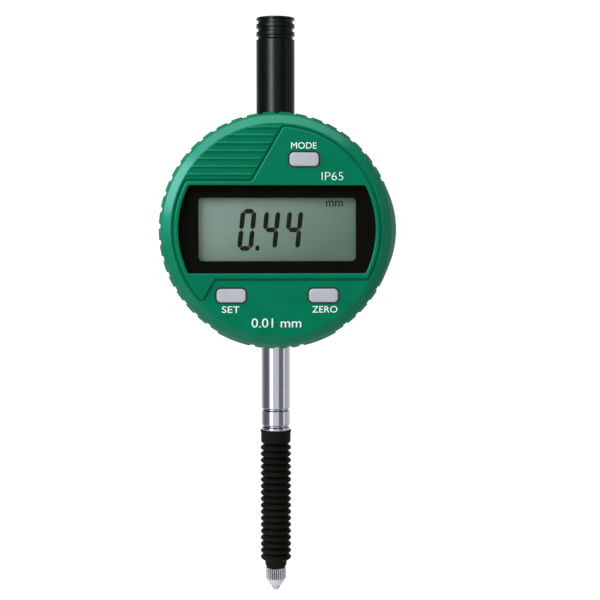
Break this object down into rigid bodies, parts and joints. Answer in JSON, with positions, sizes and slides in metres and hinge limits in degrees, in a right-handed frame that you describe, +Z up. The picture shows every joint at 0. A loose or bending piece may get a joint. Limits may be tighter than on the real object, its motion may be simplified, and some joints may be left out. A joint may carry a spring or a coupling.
{
  "type": "digital dial indicator",
  "caption": "Digital dial indicator with LCD face, sprung plunger in a rubber boot, clamping stem, lug back, keys and a pull-out battery tray.",
  "frame": {"origin": "on the plunger's axis, half way along the bare clamping stem", "axes": "+Z up along the plunger from contact point to top cap, +X to the right of the display, the display faces -Y"},
  "size_m": [0.0659, 0.0354, 0.1601],
  "materials": {
    "green_shell": "fine moulded satin green",
    "cover_green": "moulded satin green",
    "clear_window": "clear gloss",
    "black_print": "black print",
    "lcd": "grey-green liquid crystal",
    "ivory_plastic": "moulded",
    "circuit_board": "solder mask",
    "chip_black": "moulded epoxy",
    "grey_key": "satin light grey",
    "grey_tray": "satin mid grey",
    "black_rubber": "matte moulded rubber",
    "seal_rubber": "matte",
    "ground_steel": "ground and polished",
    "knurled_steel": "knurled",
    "ball_steel": "polished",
    "screw_steel": "plated",
    "spring_steel": "drawn wire",
    "bearing_bronze": "turned",
    "carriage_metal": "milled",
    "black_cap": "satin black",
    "cell_steel": "nickel plated"
  },
  "bodies": {
    "case": {"front_shell": "green_shell", "rear_case": "green_shell", "shell_seal": "seal_rubber", "shell_screws": "screw_steel", "back_cover": "cover_green", "back_seal": "seal_rubber", "back_screws": "screw_steel", "window_lens": "clear_window", "window_mask": "black_print", "lcd_panel": "lcd", "lcd_frame": "ivory_plastic", "zebra_strips": "seal_rubber", "main_board": "circuit_board", "board_screws": "screw_steel", "chips": "chip_black", "dome_switches": "bearing_bronze", "key_seals": "seal_rubber", "scale_board": "circuit_board", "battery_contacts": "bearing_bronze", "guide_rail": "carriage_metal", "rail_screws": "screw_steel", "spring_anchor": "screw_steel", "return_spring": "spring_steel", "stop_buffer": "seal_rubber", "upper_bush": "bearing_bronze", "lower_bush": "bearing_bronze", "stem": "ground_steel", "end_ring": "ground_steel", "rubber_boot": "black_rubber", "top_cap": "black_cap", "cap_seal": "seal_rubber"},
    "plunger": {"plunger": "ground_steel", "guide_pin": "screw_steel", "carriage": "carriage_metal", "clamp_screws": "screw_steel", "slider_board": "circuit_board", "spring_pin": "screw_steel", "contact_point": "knurled_steel", "contact_ball": "ball_steel"},
    "mode_key": {"mode_key": "grey_key"},
    "set_key": {"set_key": "grey_key"},
    "zero_key": {"zero_key": "grey_key"},
    "battery_drawer": {"battery": "cell_steel", "battery_tray": "grey_tray", "tray_seal": "seal_rubber"}
  },
  "joints": [
    {"name": "plunger_slide", "type": "slide", "parent": "case", "child": "plunger", "axis": [0, 0, 1], "range_m": [0, 0.0254], "stiffness_N_per_m": 47, "springref_m": -0.0213, "deforming": ["rubber_boot", "return_spring"]},
    {"name": "mode_press", "type": "slide", "parent": "case", "child": "mode_key", "axis": [0, 1, 0], "range_m": [0, 0.0005], "stiffness_N_per_m": 1500, "springref_m": -0.0003},
    {"name": "set_press", "type": "slide", "parent": "case", "child": "set_key", "axis": [0, 1, 0], "range_m": [0, 0.0005], "stiffness_N_per_m": 1500, "springref_m": -0.0003},
    {"name": "zero_press", "type": "slide", "parent": "case", "child": "zero_key", "axis": [0, 1, 0], "range_m": [0, 0.0005], "stiffness_N_per_m": 1500, "springref_m": -0.0003},
    {"name": "tray_slide", "type": "slide", "parent": "case", "child": "battery_drawer", "axis": [1, 0, 0], "range_m": [0, 0.024]}
  ]
}
